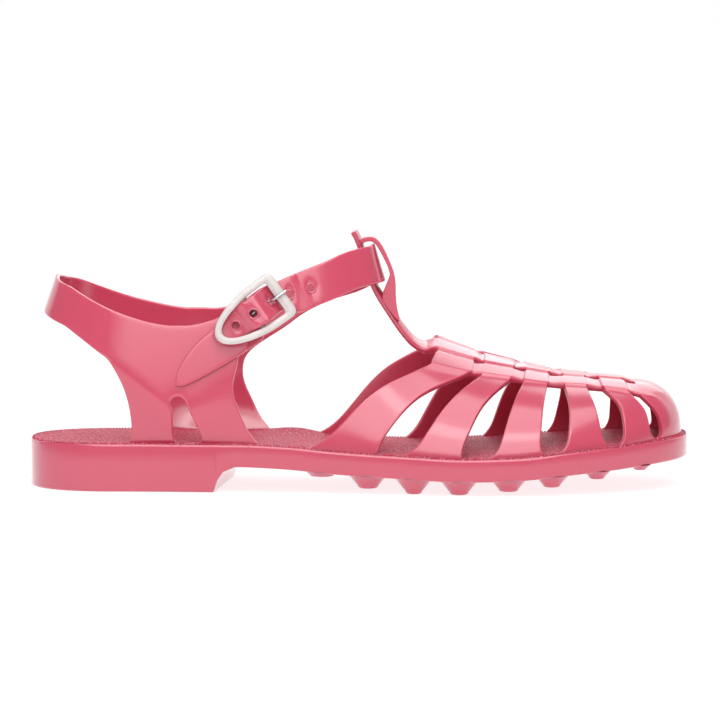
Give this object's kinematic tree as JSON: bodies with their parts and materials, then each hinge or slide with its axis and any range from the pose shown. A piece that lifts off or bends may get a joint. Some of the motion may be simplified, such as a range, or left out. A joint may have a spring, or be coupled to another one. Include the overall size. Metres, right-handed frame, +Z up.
{
  "type": "jelly sandal",
  "caption": "Woven fisherman-style T-bar jelly sandal for the right foot, moulded in glossy pink PVC, with a fastened buckle and cone lugs under the forefoot",
  "frame": {"origin": "on the floor, under the middle of the sole's length and width", "axes": "+X to the toe, +Y to the inner side of the foot, +Z up"},
  "size_m": [0.258, 0.0919, 0.1007],
  "materials": {
    "pink_pvc": "glossy, slightly translucent moulded PVC",
    "footbed": "PVC with a fine pebble grain",
    "milky_plastic": "milky translucent plastic",
    "steel": "bright drawn wire"
  },
  "bodies": {
    "root": {"sole": "pink_pvc", "insole": "footbed", "vamp": "pink_pvc", "quarter": "pink_pvc", "buckle_frame": "milky_plastic", "buckle_prong": "steel"}
  },
  "joints": []
}
